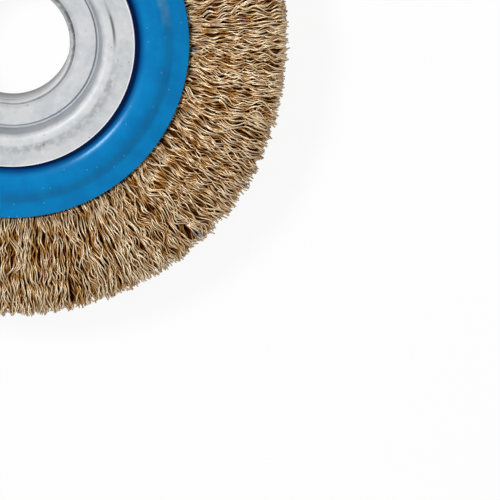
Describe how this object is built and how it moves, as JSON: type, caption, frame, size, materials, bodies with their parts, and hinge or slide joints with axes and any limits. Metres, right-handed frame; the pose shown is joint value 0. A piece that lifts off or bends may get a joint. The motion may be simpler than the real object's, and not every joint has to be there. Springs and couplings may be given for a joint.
{
  "type": "wire wheel brush",
  "caption": "Crimped wire wheel for a bench grinder: brass-coated steel wires clamped between blue face plates on a dished steel hub with a plain round bore.",
  "frame": {"origin": "middle of the bore, half way between the two faces", "axes": "+Z along the bore's axis, out of the front face; X and Y lie in the wheel's plane"},
  "size_m": [0.1524, 0.1524, 0.026],
  "materials": {
    "zinc_plate": "satin zinc-plated pressed steel with faint scuffs",
    "bare_steel": "plain drawn steel",
    "blue_paint": "glossy blue enamel on pressed steel",
    "brass_wire": "brass-coated crimped steel wire, dull between the locks and bright on the crimps"
  },
  "bodies": {
    "root": {"bore_sleeve": "zinc_plate", "spacer_ring": "bare_steel", "hub_flange_front": "zinc_plate", "hub_flange_back": "zinc_plate", "clamp_ring_front": "zinc_plate", "clamp_ring_back": "zinc_plate", "face_plate_front": "blue_paint", "face_plate_back": "blue_paint", "retaining_ring": "bare_steel", "wire_fill": "brass_wire"}
  },
  "joints": []
}
